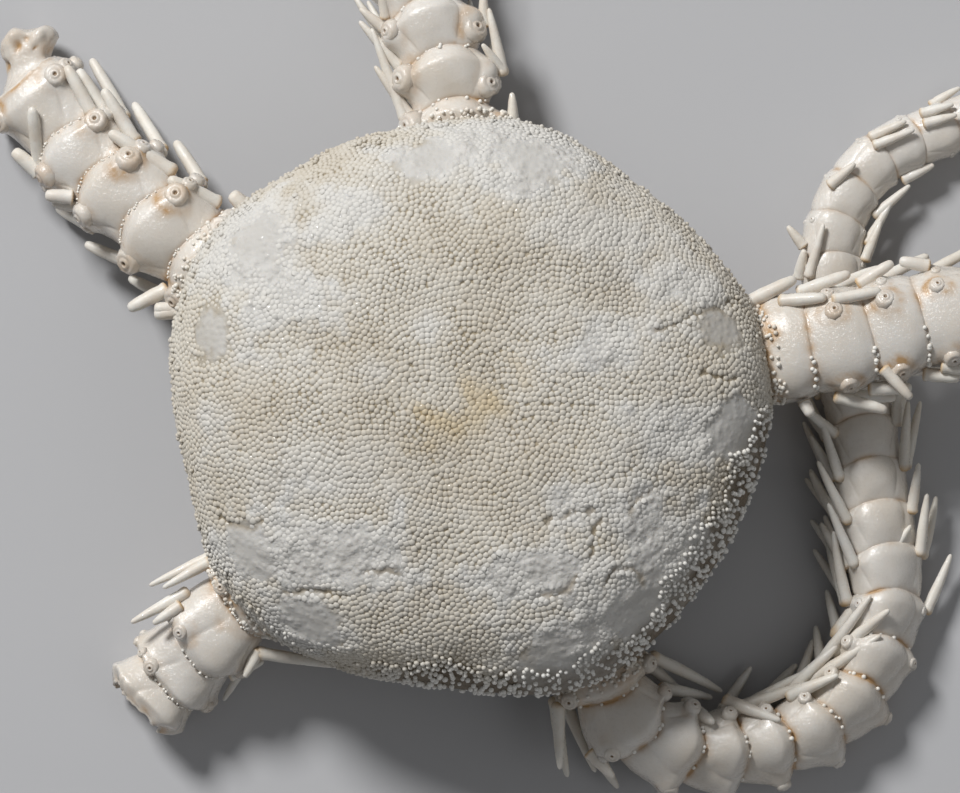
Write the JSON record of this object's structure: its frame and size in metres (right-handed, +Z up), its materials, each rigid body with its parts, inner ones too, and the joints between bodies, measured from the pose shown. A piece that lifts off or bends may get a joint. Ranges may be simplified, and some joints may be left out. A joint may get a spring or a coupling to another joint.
{
  "type": "brittle star",
  "caption": "Still life-size brittle star with a domed granular disc, jointed spiny arms that curl, and arms broken off short.",
  "frame": {"origin": "on the floor, under the middle of the whole animal's box", "axes": "+Z up out of the back of the disc, +X to the right and +Y away, as the animal is seen from straight above"},
  "size_m": [0.0844, 0.0482, 0.0085],
  "materials": {
    "granular_disc": "matte skin of fine cream granules over tan skin",
    "arm_plates": "smooth satin white plates and spines, stained brown in the grooves",
    "mouth_plates": "satin cream plates, stained tan in the grooves"
  },
  "bodies": {
    "root": {"disc": "granular_disc", "mouth_frame": "mouth_plates", "arm_right_under_disc": "mouth_plates", "arm_right_1": "arm_plates", "arm_right_2": "arm_plates", "arm_right_3": "arm_plates", "arm_right_4": "arm_plates", "arm_right_5": "arm_plates", "arm_top_under_disc": "mouth_plates", "arm_top_1": "arm_plates", "arm_top_2": "arm_plates", "arm_top_3": "arm_plates", "arm_top_4": "arm_plates", "arm_top_5": "arm_plates", "arm_lower_right_under_disc": "mouth_plates", "arm_lower_right_1": "arm_plates", "arm_lower_right_2": "arm_plates", "arm_lower_right_3": "arm_plates", "arm_lower_right_4": "arm_plates", "arm_lower_right_5": "arm_plates", "arm_lower_right_6": "arm_plates", "arm_upper_left_under_disc": "mouth_plates", "arm_upper_left": "arm_plates", "arm_lower_left_under_disc": "mouth_plates", "arm_lower_left": "arm_plates"}
  },
  "joints": []
}
